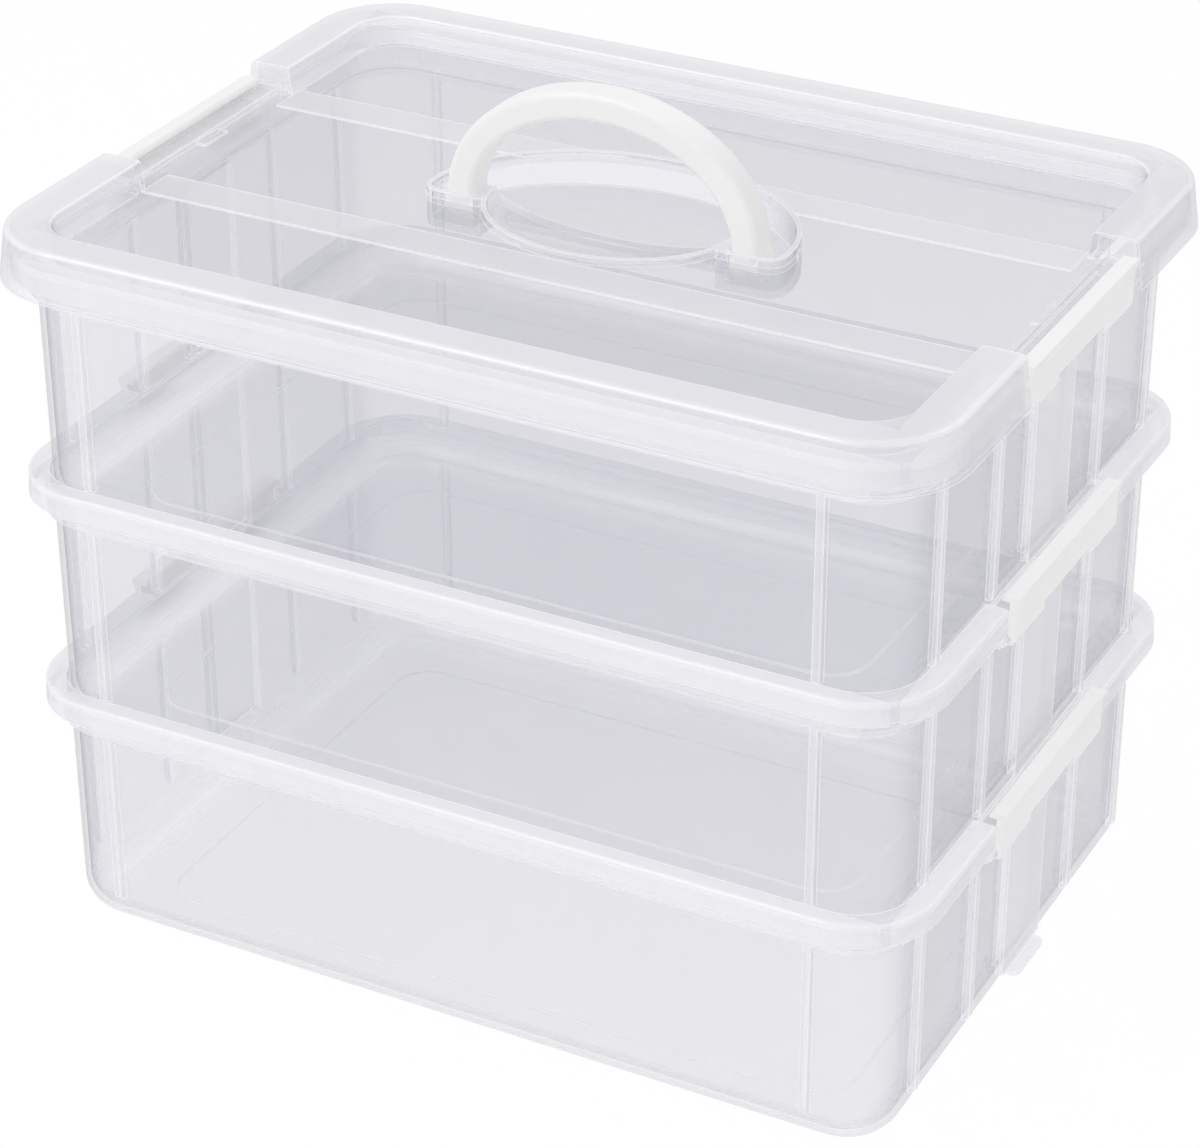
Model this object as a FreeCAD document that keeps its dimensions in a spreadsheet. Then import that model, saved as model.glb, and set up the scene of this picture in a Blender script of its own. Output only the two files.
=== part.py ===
"""Stackable storage box: three clear trays, a clear lid, a folding carry handle and six side latches.

The box stands on the XY plane with +Z up and its origin under the middle of the base.
X runs along the long side. All sizes are in millimetres.
"""
import FreeCAD, Part
import Sketcher
import math
import os
from FreeCAD import Placement, Rotation, Vector

os.makedirs("parts", exist_ok=True)
doc = FreeCAD.newDocument("storage_box")

# Driving sizes

SIZES = [
    ("tray_height", 99.5, "base of a tray to the top of its rim"),
    ("nest_depth", 14.5, "how deep a tray stands in the rim below"),
    ("wall_x", 165.6, "half length of the tray's outside at the base"),
    ("wall_y", 120.6, "half width of the tray's outside at the base"),
    ("wall_corner", 21.0, "corner radius of the tray's outside"),
    ("wall", 2.0, "wall thickness"),
    ("draft", 0.3, "draft of the tray's walls in degrees"),
    ("base_round", 14.0, "rounding between walls and base"),
    ("floor", 2.6, "floor thickness with its foot ring"),
    ("foot_depth", 0.8, "depth of the recess inside the foot ring"),
    ("foot_inset", 26.0, "from the wall to the inner edge of the foot ring"),
    ("wall_lean", 0.4, "how much wider the hollow is at the rim than at the base"),
    ("nest_gap", 0.7, "sideways room round a nested base"),
    ("seat_gap", 0.3, "upright room between pieces that rest on each other"),
    ("rim_drop", 15.0, "depth of the widened rim below its top"),
    ("shoulder_rise", 2.5, "height of the sloping shoulder under the rim"),
    ("flange_end", 6.8, "reach of the flange beyond the rim at the ends"),
    ("flange_side", 5.3, "reach of the flange beyond the rim at the long sides"),
    ("flange_round", 6.9, "corner radius of the flange beyond that of the rim"),
    ("edge_round", 1.2, "rounding of the flange's upper edge"),
    ("flange_skirt", 8.7, "height of the flange skirt"),
    ("skirt_draft", 3.5, "draft of the flange skirt in degrees"),
    ("bay_half", 49.4, "half width of the gap that the latch fills"),
    ("bay_drop", 2.0, "how far the rim is lowered in that gap"),
    ("web", 2.0, "thickness of the small webs at the rim"),
    ("rib_width", 3.0, "width of the upright ribs"),
    ("rib_inset", 5.6, "ribs inwards from where a corner starts"),
    ("rib_near", 3.0, "inner end ribs inwards from the latch gap's side"),
    ("rib_foot", 2.0, "rounding of a rib's lower end"),
    ("panel_half", 17.0, "half width of the raised panel on an end wall"),
    ("ledge_half", 13.0, "half width of the ledge that the latch holds"),
    ("ledge_thick", 1.6, "thickness of that ledge"),
    ("ledge_round", 3.5, "corner radius of that ledge"),
    ("ledge_short", 0.5, "edge of the ledge and the lid's strip inwards from the hinge axis"),
    ("hinge_out", 4.7, "latch hinge axis outwards from the rim"),
    ("hinge_drop", 12.9, "latch hinge axis below the rim top"),
    ("bar_radius", 1.5, "radius of the hinge bar"),
    ("bar_inner", 16.4, "inner end of each hinge bar"),
    ("latch_room", 2.4, "sideways room between latch and gap"),
    ("leg_room", 1.6, "sideways room between a leg and the web beside it"),
    ("leg_round", 5.5, "rounding of a leg's inner lower corner"),
    ("leg_corner", 2.4, "rounding of a leg's outer lower corner"),
    ("latch_plate", 2.4, "thickness of the latch plate"),
    ("clip_radius", 3.2, "outside radius of the latch's clip"),
    ("clip_gap", 0.3, "room between clip and hinge bar"),
    ("bridge_rise", 2.1, "lower edge of the latch plate above the hinge axis"),
    ("hook_room", 1.2, "upright room between the hook and what it holds"),
    ("hook_thick", 1.9, "thickness of the latch hook"),
    ("hook_overlap", 1.5, "how far the hook reaches over the ledge"),
    ("lip_round", 0.7, "rounding of the latch's finger lip"),
    ("lid_over_x", 3.4, "reach of the lid's skirt beyond the flange at the ends"),
    ("lid_over_y", 3.9, "reach of the lid's skirt beyond the flange at the long sides"),
    ("lid_top_round", 2.6, "rounding of the lid rim's upper outer edge"),
    ("lid_inner_round", 1.2, "rounding of the lid rim's upper inner edge"),
    ("lid_skirt", 9.8, "lid skirt below the tray's rim top"),
    ("lid_rise", 8.5, "lid rim above the tray's rim top"),
    ("lid_draft", 8.4, "slope of the lid's skirt in degrees"),
    ("rim_width_x", 16.2, "width of the lid rim at the ends"),
    ("rim_width_y", 14.4, "width of the lid rim at the long sides"),
    ("rim_inner_corner", 17.0, "inner corner radius of the lid rim"),
    ("panel_drop", 2.1, "lid panel below the tray's rim top"),
    ("bay_gap", 0.3, "sideways room for the lid's strip in that gap"),
    ("strip_width", 8.3, "width of the strip along the lid's ends"),
    ("strip_wall", 1.6, "thickness of the step under that strip"),
    ("band_inner", 36.6, "inner edge of the lid's cross bands"),
    ("band_width", 16.4, "width of the lid's cross bands"),
    ("band_short", 2.4, "ends of the cross bands inwards from the lid rim"),
    ("band_rise", 0.8, "height of the cross bands"),
    ("socket_side", 7.25, "sideways room outside the handle's feet"),
    ("socket_room", 0.6, "room in front of and under the handle's feet"),
    ("ear_room", 0.55, "room between a foot and the ear that carries it"),
    ("ear_thick", 3.7, "thickness of that ear"),
    ("fold_room", 1.25, "room behind the folded handle"),
    ("well_round", 7.0, "corner radius of the handle sockets"),
    ("well_wall", 1.8, "wall thickness of the handle well"),
    ("well_lip", 0.9, "lip of the well above the tray's rim top"),
    ("scoop_reach", 37.0, "reach of the finger scoop to the front"),
    ("scoop_depth", 9.9, "depth of the finger scoop"),
    ("scoop_back", 4.0, "rear edge of the finger scoop"),
    ("pivot_drop", 4.5, "handle pivot below the tray's rim top"),
    ("handle_x", 55.6, "handle leg centre line from the middle"),
    ("handle_width", 13.0, "width of the handle band"),
    ("handle_thick", 10.7, "thickness of the handle band"),
    ("handle_round", 2.6, "edge rounding of the handle band"),
    ("handle_leg", 4.0, "straight part of the handle above its pivot"),
    ("handle_arch", 42.6, "rise of the handle's centre line over its legs"),
    ("pin_radius", 2.5, "radius of the handle's pins"),
    ("pin_length", 2.9, "length of the handle's pins"),
    ("pin_gap", 0.08, "room round the pins"),
]


class Dim:
    """A size with its value and the formula that binds it to the sheet."""

    def __init__(self, value, text):
        self.value = value
        self.text = text

    def __add__(self, other):
        other = as_dim(other)
        return Dim(self.value + other.value, "(" + self.text + " + " + other.text + ")")

    def __sub__(self, other):
        other = as_dim(other)
        return Dim(self.value - other.value, "(" + self.text + " - " + other.text + ")")

    def __mul__(self, other):
        other = as_dim(other)
        return Dim(self.value * other.value, "(" + self.text + " * " + other.text + ")")

    def __neg__(self):
        return Dim(-self.value, "(0 - " + self.text + ")")


def as_dim(value):
    """Give a plain number the same form as a size of the sheet."""
    if isinstance(value, Dim):
        return value
    return Dim(float(value), repr(float(value)))


sheet = doc.addObject("Spreadsheet::Sheet", "sizes")
D = {}
for row, (name, value, meaning) in enumerate(SIZES, start=1):
    sheet.set("A%d" % row, meaning)
    sheet.set("B%d" % row, str(value))
    sheet.setAlias("B%d" % row, name)
    D[name] = Dim(value, "sizes." + name)
doc.recompute()


def bind(obj, path, dim):
    """Bind one property of an object to a size."""
    obj.setExpression(path, as_dim(dim).text)


# Sketch helpers


def new_body(label):
    """Start a body whose label names its file."""
    body = doc.addObject("PartDesign::Body", label)
    body.Label = label
    return body


def origin_plane(body, role):
    """Find one of a body's own origin planes."""
    for feature in body.Origin.OriginFeatures:
        if feature.Role == role:
            return feature
    raise RuntimeError("no origin plane " + role)


def new_sketch(body, name, plane="XY_Plane", height=0.0):
    """Add a sketch at a bound height over an origin plane."""
    sketch = body.newObject("Sketcher::SketchObject", name)
    sketch.AttachmentSupport = (origin_plane(body, plane), "")
    sketch.MapMode = "FlatFace"
    height = as_dim(height)
    sketch.AttachmentOffset = Placement(Vector(0, 0, height.value), Rotation())
    bind(sketch, "AttachmentOffset.Base.z", height)
    return sketch


def constrain(sketch, kind, arguments, name, dim):
    """Add one driving dimension to a sketch and bind it."""
    index = sketch.addConstraint(Sketcher.Constraint(kind, *arguments, as_dim(dim).value))
    sketch.renameConstraint(index, name)
    bind(sketch, "Constraints." + name, dim)


def add_rounded(sketch, half_x, half_y, radius, tag="r"):
    """Draw a centred rectangle with rounded corners."""
    x, y, r = as_dim(half_x).value, as_dim(half_y).value, as_dim(radius).value
    start = sketch.GeometryCount
    corners = [(x - r, y - r, 0.0), (-x + r, y - r, 90.0), (-x + r, -y + r, 180.0), (x - r, -y + r, 270.0)]
    ends = [((x - r, y), (-x + r, y)), ((-x, y - r), (-x, -y + r)),
            ((-x + r, -y), (x - r, -y)), ((x, -y + r), (x, y - r))]
    for first, second in ends:
        sketch.addGeometry(Part.LineSegment(Vector(*first, 0), Vector(*second, 0)), False)
    for cx, cy, angle in corners:
        circle = Part.Circle(Vector(cx, cy, 0), Vector(0, 0, 1), r)
        low = FreeCAD.Units.Quantity(str(angle) + " deg").getValueAs("rad").Value
        high = FreeCAD.Units.Quantity(str(angle + 90.0) + " deg").getValueAs("rad").Value
        sketch.addGeometry(Part.ArcOfCircle(circle, low, high), False)
    top, left, bottom, right = start, start + 1, start + 2, start + 3
    arcs = [start + 4, start + 5, start + 6, start + 7]
    joins = [(arcs[0], 2, top, 1), (top, 2, arcs[1], 1), (arcs[1], 2, left, 1), (left, 2, arcs[2], 1),
             (arcs[2], 2, bottom, 1), (bottom, 2, arcs[3], 1), (arcs[3], 2, right, 1), (right, 2, arcs[0], 1)]
    for a, pa, b, pb in joins:
        sketch.addConstraint(Sketcher.Constraint("Tangent", a, pa, b, pb))
    sketch.addConstraint(Sketcher.Constraint("Symmetric", top, 1, top, 2, -2))
    sketch.addConstraint(Sketcher.Constraint("Symmetric", right, 1, right, 2, -1))
    sketch.addConstraint(Sketcher.Constraint("Horizontal", bottom))
    sketch.addConstraint(Sketcher.Constraint("Vertical", left))
    for arc in arcs[1:]:
        sketch.addConstraint(Sketcher.Constraint("Equal", arcs[0], arc))
    constrain(sketch, "DistanceX", (-1, 1, right, 1), tag + "_half_x", half_x)
    constrain(sketch, "DistanceY", (-1, 1, top, 1), tag + "_half_y", half_y)
    constrain(sketch, "Radius", (arcs[0],), tag + "_radius", radius)


def add_rectangle(sketch, x0, x1, y0, y1, tag):
    """Draw a rectangle between four bound coordinates."""
    x0, x1, y0, y1 = as_dim(x0), as_dim(x1), as_dim(y0), as_dim(y1)
    start = sketch.GeometryCount
    points = [(x0.value, y0.value), (x1.value, y0.value), (x1.value, y1.value), (x0.value, y1.value)]
    for i in range(4):
        a, b = points[i], points[(i + 1) % 4]
        sketch.addGeometry(Part.LineSegment(Vector(*a, 0), Vector(*b, 0)), False)
    for i in range(4):
        sketch.addConstraint(Sketcher.Constraint("Coincident", start + i, 2, start + (i + 1) % 4, 1))
    for i, kind in enumerate(("Horizontal", "Vertical", "Horizontal", "Vertical")):
        sketch.addConstraint(Sketcher.Constraint(kind, start + i))
    place_point(sketch, start, 1, x0, y0, tag + "_low")
    place_point(sketch, start + 2, 1, x1, y1, tag + "_high")


def place_point(sketch, geometry, point, x, y, tag):
    """Fix one sketch point by its distances from the origin."""
    for kind, dim, end in (("DistanceX", as_dim(x), "_x"), ("DistanceY", as_dim(y), "_y")):
        if dim.value == 0.0 and dim.text == "0.0":
            axis = -2 if kind == "DistanceX" else -1
            sketch.addConstraint(Sketcher.Constraint("PointOnObject", geometry, point, axis))
        else:
            constrain(sketch, kind, (-1, 1, geometry, point), tag + end, dim)


def add_circle(sketch, x, y, radius, tag="c"):
    """Draw a circle at a bound centre."""
    x, y, radius = as_dim(x), as_dim(y), as_dim(radius)
    index = sketch.addGeometry(Part.Circle(Vector(x.value, y.value, 0), Vector(0, 0, 1), radius.value), False)
    place_point(sketch, index, 3, x, y, tag)
    constrain(sketch, "Radius", (index,), tag + "_radius", radius)


def add_polygon(sketch, points, tag="p"):
    """Draw a closed outline through bound points."""
    points = [(as_dim(x), as_dim(y)) for x, y in points]
    start = sketch.GeometryCount
    count = len(points)
    for i in range(count):
        a, b = points[i], points[(i + 1) % count]
        sketch.addGeometry(Part.LineSegment(Vector(a[0].value, a[1].value, 0),
                                            Vector(b[0].value, b[1].value, 0)), False)
    for i in range(count):
        sketch.addConstraint(Sketcher.Constraint("Coincident", start + i, 2, start + (i + 1) % count, 1))
    for i, (x, y) in enumerate(points):
        place_point(sketch, start + i, 1, x, y, tag + "%d" % i)


def add_corner_cut(sketch, x, y, radius, side_x, side_y, tag):
    """Draw what a rounding of one corner takes away; the sides tell which way the corner points."""
    x, y, r = as_dim(x), as_dim(y), as_dim(radius)
    px, py, rr = x.value, y.value, r.value
    flat = sketch.addGeometry(Part.LineSegment(Vector(px - rr * side_x, py, 0), Vector(px, py, 0)), False)
    rise = sketch.addGeometry(Part.LineSegment(Vector(px, py, 0), Vector(px, py - rr * side_y, 0)), False)
    circle = Part.Circle(Vector(px - rr * side_x, py - rr * side_y, 0), Vector(0, 0, 1), rr)
    start = {(1, 1): 0, (-1, 1): 90, (-1, -1): 180, (1, -1): 270}[(side_x, side_y)]
    low = FreeCAD.Units.Quantity("%g deg" % start).getValueAs("rad").Value
    high = FreeCAD.Units.Quantity("%g deg" % (start + 90)).getValueAs("rad").Value
    arc = sketch.addGeometry(Part.ArcOfCircle(circle, low, high), False)
    at_rise, at_flat = (1, 2) if side_x * side_y > 0 else (2, 1)
    sketch.addConstraint(Sketcher.Constraint("Coincident", flat, 2, rise, 1))
    sketch.addConstraint(Sketcher.Constraint("Tangent", flat, 1, arc, at_flat))
    sketch.addConstraint(Sketcher.Constraint("Tangent", rise, 2, arc, at_rise))
    sketch.addConstraint(Sketcher.Constraint("Horizontal", flat))
    sketch.addConstraint(Sketcher.Constraint("Vertical", rise))
    place_point(sketch, flat, 2, x, y, tag)
    constrain(sketch, "Radius", (arc,), tag + "_radius", r)


# Feature helpers


def pad(body, sketch, length, taper=None, down=False, both=False):
    """Add material from a sketch."""
    feature = body.newObject("PartDesign::Pad", sketch.Name + "_pad")
    return set_extent(feature, sketch, length, taper, down, both)


def pocket(body, sketch, length, taper=None, up=False, both=False):
    """Remove material from a sketch; it cuts downwards unless up is set."""
    feature = body.newObject("PartDesign::Pocket", sketch.Name + "_cut")
    return set_extent(feature, sketch, length, taper, up, both)


def set_extent(feature, sketch, length, taper, flip, both):
    """Set the length, slope and direction of a pad or pocket."""
    feature.Profile = sketch
    feature.Length = as_dim(length).value
    bind(feature, "Length", length)
    if taper is not None:
        feature.TaperAngle = as_dim(taper).value
        bind(feature, "TaperAngle", taper)
    feature.Reversed = flip
    if both:
        feature.SideType = "Symmetric"
    sketch.Visibility = False
    return feature


def mirror(body, features, role):
    """Repeat features on the other side of an origin plane."""
    feature = body.newObject("PartDesign::Mirrored", features[0].Name + "_mirror")
    feature.Originals = features
    feature.MirrorPlane = (origin_plane(body, role), [""])
    body.Tip = feature
    return feature


def round_edges(body, base, test, radius, name):
    """Round the edges of a feature that pass a test."""
    doc.recompute()
    names = []
    for index, edge in enumerate(base.Shape.Edges, start=1):
        if test(edge):
            names.append("Edge%d" % index)
    if not names:
        raise RuntimeError("no edges for " + name)
    feature = body.newObject("PartDesign::Fillet", name)
    feature.Base = (base, names)
    feature.Radius = as_dim(radius).value
    bind(feature, "Radius", radius)
    doc.recompute()
    if "Invalid" in feature.State:
        raise RuntimeError("failed " + name)
    return feature


def in_range(edge, low, high):
    """Tell whether an edge lies inside a box."""
    box = edge.BoundBox
    slack = 0.01
    return (box.XMin > low[0] - slack and box.XMax < high[0] + slack
            and box.YMin > low[1] - slack and box.YMax < high[1] + slack
            and box.ZMin > low[2] - slack and box.ZMax < high[2] + slack)


def level_edge(edge, height):
    """Tell whether an edge lies at one height."""
    box = edge.BoundBox
    return abs(box.ZMin - height) < 0.02 and abs(box.ZMax - height) < 0.02


def upright(edge):
    """Tell whether an edge runs straight up."""
    box = edge.BoundBox
    return box.XLength < 0.01 and box.YLength < 0.01


def outside(edge, half_x, half_y):
    """Tell whether an edge lies outside a centred rectangle."""
    middle = edge.valueAt((edge.FirstParameter + edge.LastParameter) * 0.5)
    return abs(middle.x) > half_x or abs(middle.y) > half_y


# Derived sizes

RIM_TOP = D["tray_height"]
RIM_LOW = RIM_TOP - D["rim_drop"]
SHOULDER_LOW = RIM_LOW - D["shoulder_rise"]
WALL_LEAN = D["wall_lean"]
OPENING_X = D["wall_x"] + D["nest_gap"] + WALL_LEAN
OPENING_Y = D["wall_y"] + D["nest_gap"] + WALL_LEAN
RIM_X = OPENING_X + D["wall"]
RIM_Y = OPENING_Y + D["wall"]
RIM_CORNER = D["wall_corner"] + D["wall"] + 0.6
PITCH = RIM_TOP - D["nest_depth"]
SEAT = D["nest_depth"]
FLANGE_X = RIM_X + D["flange_end"]
FLANGE_Y = RIM_Y + D["flange_side"]
FLANGE_CORNER = RIM_CORNER + D["flange_round"]
HINGE_X = RIM_X + D["hinge_out"]
LEDGE_REACH = HINGE_X - D["ledge_short"]
BAR_Z = RIM_TOP - D["hinge_drop"]
RIB_FAR_Y = D["wall_y"] - D["wall_corner"] - D["rib_inset"]
RIB_NEAR_Y = D["bay_half"] - D["rib_near"]
RIB_LONG_X = D["wall_x"] - D["wall_corner"] - D["rib_inset"]
LATCH_HALF = D["bay_half"] - D["latch_room"]
LEG_INNER = D["bar_inner"] + D["web"] + D["leg_room"]
HOOK_RISE = D["hinge_drop"] + D["hook_room"]
LID_X = FLANGE_X + D["lid_over_x"]
LID_Y = FLANGE_Y + D["lid_over_y"]
LID_CORNER = FLANGE_CORNER + D["lid_over_x"]
STRIP_X = LEDGE_REACH - D["strip_width"]
STRIP_BACK_X = STRIP_X + D["strip_wall"]
FOOT_OUTER = D["handle_x"] + D["handle_thick"] * 0.5
FOOT_INNER = D["handle_x"] - D["handle_thick"] * 0.5
WELL_X = FOOT_OUTER + D["socket_side"] + D["well_wall"]
WELL_Y = D["handle_leg"] + D["handle_arch"] + D["handle_thick"] * 0.5 + D["fold_room"] + D["well_wall"]
WELL_FRONT = D["handle_width"] * 0.5 + D["socket_room"] + D["well_wall"]
WELL_FLOOR = D["pivot_drop"] + D["handle_width"] * 0.5 + D["socket_room"]
SCOOP_X = FOOT_INNER - D["ear_room"] - D["ear_thick"]
DRAFT_ANGLE = FreeCAD.Units.Quantity("%g deg" % D["lid_draft"].value).getValueAs("rad").Value
LID_SLOPE = math.tan(DRAFT_ANGLE)


# Trays


def build_tray(label, level):
    """Make one clear tray with its nesting base, ribs, ledges, rim flange and hinge bars."""
    body = new_body(label)
    skin = new_sketch(body, label + "_skin")
    add_rounded(skin, D["wall_x"], D["wall_y"], D["wall_corner"])
    pad(body, skin, SHOULDER_LOW, D["draft"])
    shoulder = new_sketch(body, label + "_shoulder", height=RIM_LOW)
    add_rounded(shoulder, RIM_X, RIM_Y, RIM_CORNER)
    pad(body, shoulder, D["shoulder_rise"], as_dim(-43.0), down=True)
    rim = new_sketch(body, label + "_rim", height=RIM_LOW)
    add_rounded(rim, RIM_X, RIM_Y, RIM_CORNER)
    pad(body, rim, D["rim_drop"])
    mouth = new_sketch(body, label + "_mouth", height=RIM_TOP)
    add_rounded(mouth, OPENING_X, OPENING_Y, RIM_CORNER - D["wall"])
    pocket(body, mouth, D["rim_drop"])
    hollow = new_sketch(body, label + "_hollow", height=RIM_LOW)
    add_rounded(hollow, D["wall_x"] + WALL_LEAN - D["wall"], D["wall_y"] + WALL_LEAN - D["wall"],
                D["wall_corner"] - D["wall"] + WALL_LEAN)
    inside = pocket(body, hollow, RIM_LOW - D["floor"], -D["draft"])
    doc.recompute()
    floor = D["floor"].value
    inner = round_edges(body, inside, lambda e: level_edge(e, floor), D["base_round"] - D["wall"],
                        label + "_inner_round")
    round_edges(body, inner, lambda e: level_edge(e, 0.0), D["base_round"], label + "_base_round")
    flange = new_sketch(body, label + "_flange", height=RIM_TOP - D["flange_skirt"])
    add_rounded(flange, FLANGE_X, FLANGE_Y, FLANGE_CORNER, "a")
    add_rounded(flange, RIM_X - 1.0, RIM_Y - 1.0, RIM_CORNER - 1.0, "b")
    pad(body, flange, D["flange_skirt"], -D["skirt_draft"])
    groove = new_sketch(body, label + "_flange_groove", height=RIM_TOP - D["flange_skirt"])
    add_rounded(groove, FLANGE_X - D["wall"], FLANGE_Y - D["wall"], FLANGE_CORNER - D["wall"], "a")
    add_rounded(groove, RIM_X, RIM_Y, RIM_CORNER, "b")
    pocket(body, groove, D["flange_skirt"] - D["wall"], up=True)

    doc.recompute()
    rim_x = RIM_X.value + 2.0
    rim_y = RIM_Y.value + 2.0
    top = RIM_TOP.value
    round_edges(body, body.Tip, lambda e: level_edge(e, top) and outside(e, rim_x, rim_y), D["edge_round"],
                label + "_flange_round")

    bays = new_sketch(body, label + "_bays", height=RIM_TOP)
    reach = FLANGE_X + 5.0
    for side, tag in ((1, "e"), (-1, "w")):
        add_rectangle(bays, RIM_X * side, reach * side, -D["bay_half"], D["bay_half"], tag)
    pocket(body, bays, D["flange_skirt"] + 1.0)
    lowered = new_sketch(body, label + "_lowered", height=RIM_TOP)
    for side, tag in ((1, "e"), (-1, "w")):
        add_rectangle(lowered, (D["wall_x"] - 10.0) * side, reach * side, -D["bay_half"], D["bay_half"], tag)
    pocket(body, lowered, D["bay_drop"])

    ribs = new_sketch(body, label + "_ribs", height=SEAT + D["seat_gap"])
    half = D["rib_width"] * 0.5
    root_x = D["wall_x"] - 1.0
    root_y = D["wall_y"] - 1.0
    for side, sx in ((1, "e"), (-1, "w")):
        for name, place in (("far", RIB_FAR_Y), ("near", RIB_NEAR_Y)):
            for turn, sy in ((1, "n"), (-1, "s")):
                add_rectangle(ribs, root_x * side, RIM_X * side, place * turn - half, place * turn + half,
                              name + sx + sy)
        for turn, sy in ((1, "n"), (-1, "s")):
            add_rectangle(ribs, RIB_LONG_X * side - half, RIB_LONG_X * side + half,
                          root_y * turn, RIM_Y * turn, "long" + sx + sy)
    rib = pad(body, ribs, RIM_LOW - SEAT - D["seat_gap"])
    doc.recompute()
    foot_z = (SEAT + D["seat_gap"]).value
    face_x = RIM_X.value - 0.05
    face_y = RIM_Y.value - 0.05
    round_edges(body, rib, lambda e: level_edge(e, foot_z) and outside(e, face_x, face_y), D["rib_foot"],
                label + "_rib_feet")
    panels = new_sketch(body, label + "_panels", height=SEAT)
    for side, tag in ((1, "e"), (-1, "w")):
        add_rectangle(panels, root_x * side, RIM_X * side, -D["panel_half"], D["panel_half"], tag)
    pad(body, panels, RIM_LOW - SEAT)
    backs = new_sketch(body, label + "_panel_backs", height=SEAT + D["wall"])
    for side, tag in ((1, "e"), (-1, "w")):
        add_rectangle(backs, (D["wall_x"] - 6.0) * side, (RIM_X - D["wall"]) * side,
                      D["wall"] - D["panel_half"], D["panel_half"] - D["wall"], tag)
    pocket(body, backs, RIM_LOW - SEAT - D["wall"] * 2.0, up=True)

    ledges = new_sketch(body, label + "_ledges", height=SEAT)
    for side, tag in ((1, "e"), (-1, "w")):
        add_rectangle(ledges, root_x * side, LEDGE_REACH * side, -D["ledge_half"], D["ledge_half"], tag)
    ledge = pad(body, ledges, D["ledge_thick"], down=True)
    doc.recompute()
    reach_x = LEDGE_REACH.value
    ledge_z = SEAT.value
    thick = D["ledge_thick"].value
    round_edges(body, ledge, lambda e: abs(abs(e.CenterOfMass.x) - reach_x) < 0.01 and upright(e)
                and ledge_z - thick - 0.1 < e.CenterOfMass.z < ledge_z, D["ledge_round"], label + "_ledge_round")

    webs = new_sketch(body, label + "_webs", height=BAR_Z - D["bar_radius"] - 0.35)
    for side, tag in ((1, "e"), (-1, "w")):
        for turn, sy in ((1, "n"), (-1, "s")):
            add_rectangle(webs, (RIM_X - 0.6) * side, HINGE_X * side,
                          D["bar_inner"] * turn, (D["bar_inner"] + D["web"]) * turn, "inner" + tag + sy)
            add_rectangle(webs, (RIM_X - 0.6) * side, HINGE_X * side,
                          D["bay_half"] * turn, (D["bay_half"] + D["web"]) * turn, "outer" + tag + sy)
    pad(body, webs, D["bar_radius"] * 2.0 + 0.7)
    stops = new_sketch(body, label + "_flange_ends", height=BAR_Z - D["bar_radius"] - 0.35)
    for side, tag in ((1, "e"), (-1, "w")):
        for turn, sy in ((1, "n"), (-1, "s")):
            add_rectangle(stops, (RIM_X - 0.6) * side, HINGE_X * side,
                          D["bay_half"] * turn, (D["bay_half"] + D["web"]) * turn, tag + sy)
    pad(body, stops, D["hinge_drop"] + D["bar_radius"] + 0.35 - D["wall"] * 0.5)
    bars = new_sketch(body, label + "_bars", plane="XZ_Plane")
    for side, tag in ((1, "e"), (-1, "w")):
        add_circle(bars, HINGE_X * side, BAR_Z, D["bar_radius"], tag)
    bar = pad(body, bars, (D["bay_half"] + D["web"] * 0.5) * 2.0, both=True)
    gap = new_sketch(body, label + "_bar_gap", height=BAR_Z + D["bar_radius"] + 0.5)
    for side, tag in ((1, "e"), (-1, "w")):
        add_rectangle(gap, (RIM_X + 0.2) * side, (HINGE_X + D["bar_radius"] + 1.0) * side,
                      -D["bar_inner"], D["bar_inner"], tag)
    pocket(body, gap, D["bar_radius"] * 2.0 + 1.0)

    foot = new_sketch(body, label + "_foot")
    add_rounded(foot, D["wall_x"] - D["foot_inset"], D["wall_y"] - D["foot_inset"], D["wall_corner"] - 6.0)
    recess = pocket(body, foot, D["foot_depth"], up=True)
    body.Tip = recess
    body.Placement = Placement(Vector(0, 0, 0), Rotation())
    bind(body, "Placement.Base.z", PITCH * float(level))
    return body


# Lid


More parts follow.
